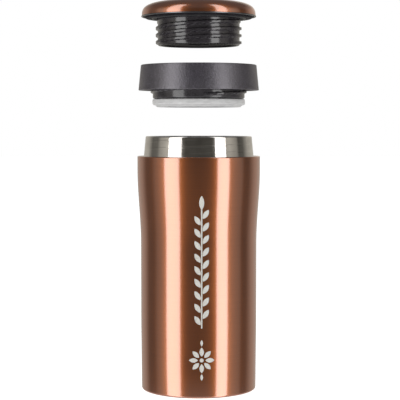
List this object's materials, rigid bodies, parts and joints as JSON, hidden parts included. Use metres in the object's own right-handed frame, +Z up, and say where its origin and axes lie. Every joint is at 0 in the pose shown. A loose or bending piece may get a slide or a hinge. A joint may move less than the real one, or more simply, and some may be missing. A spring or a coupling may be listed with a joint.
{
  "type": "travel mug",
  "caption": "Vacuum-insulated steel travel mug with a screw-in drinking collar and a domed screw cap, drawn apart along the screw axis",
  "frame": {"origin": "centre of the mug's underside, on the screw axis, at the height of the ring that it stands on", "axes": "+Z up along the screw axis, from the base to the mouth; +X to the right and -Y towards the viewer, with the etched ornament of the copper wall on the -Y side"},
  "size_m": [0.075, 0.075, 0.2374],
  "materials": {
    "copper_lacquer": "satin",
    "cap_copper": "satin",
    "polished_steel": "polished",
    "liner_steel": "satin",
    "base_steel": "satin",
    "radiation_foil": "polished",
    "port_bead": "gloss",
    "getter": "matte",
    "soft_skirt": "matte",
    "glossy_insert": "gloss",
    "silicone_seal": "satin",
    "black_flange": "gloss",
    "glossy_plug": "gloss",
    "seal_ring": "satin",
    "foam": "matte",
    "adhesive": "satin"
  },
  "bodies": {
    "vessel": {"outer_shell": "copper_lacquer", "neck_sleeve": "polished_steel", "liner_neck": "liner_steel", "inner_liner": "liner_steel", "liner_base": "base_steel", "radiation_foil": "radiation_foil", "base_plate": "base_steel", "vacuum_port_bead": "port_bead", "getter_pellet": "getter", "getter_clip": "base_steel", "base_cover": "base_steel"},
    "collar_slider": {"collar_seal": "silicone_seal"},
    "collar": {"collar_skirt": "soft_skirt", "collar_insert": "glossy_insert"},
    "cap_slider": {"cap_seal": "seal_ring"},
    "cap": {"cap_cover": "cap_copper", "cap_flange": "black_flange", "cap_plug": "glossy_plug", "plug_floor": "glossy_plug", "plug_foam": "foam", "cap_bond": "adhesive"}
  },
  "joints": [
    {"name": "collar_lift", "type": "slide", "parent": "vessel", "child": "collar_slider", "axis": [0, 0, 1], "range_m": [-0.0397, 0]},
    {"name": "collar_turn", "type": "hinge", "parent": "collar_slider", "child": "collar", "pos_m": [0, 0, 0.183], "axis": [0, 0, 1], "range_deg": [-1681, 0]},
    {"name": "cap_lift", "type": "slide", "parent": "collar", "child": "cap_slider", "axis": [0, 0, 1], "range_m": [-0.0287, 0]},
    {"name": "cap_turn", "type": "hinge", "parent": "cap_slider", "child": "cap", "pos_m": [0, 0, 0.2274], "axis": [0, 0, 1], "range_deg": [-1215, 0]}
  ],
  "couplings": [
    {"joint": "collar_lift", "follows": "collar_turn", "m_per_rad": 0.0013528},
    {"joint": "cap_lift", "follows": "cap_turn", "m_per_rad": 0.0013528}
  ]
}
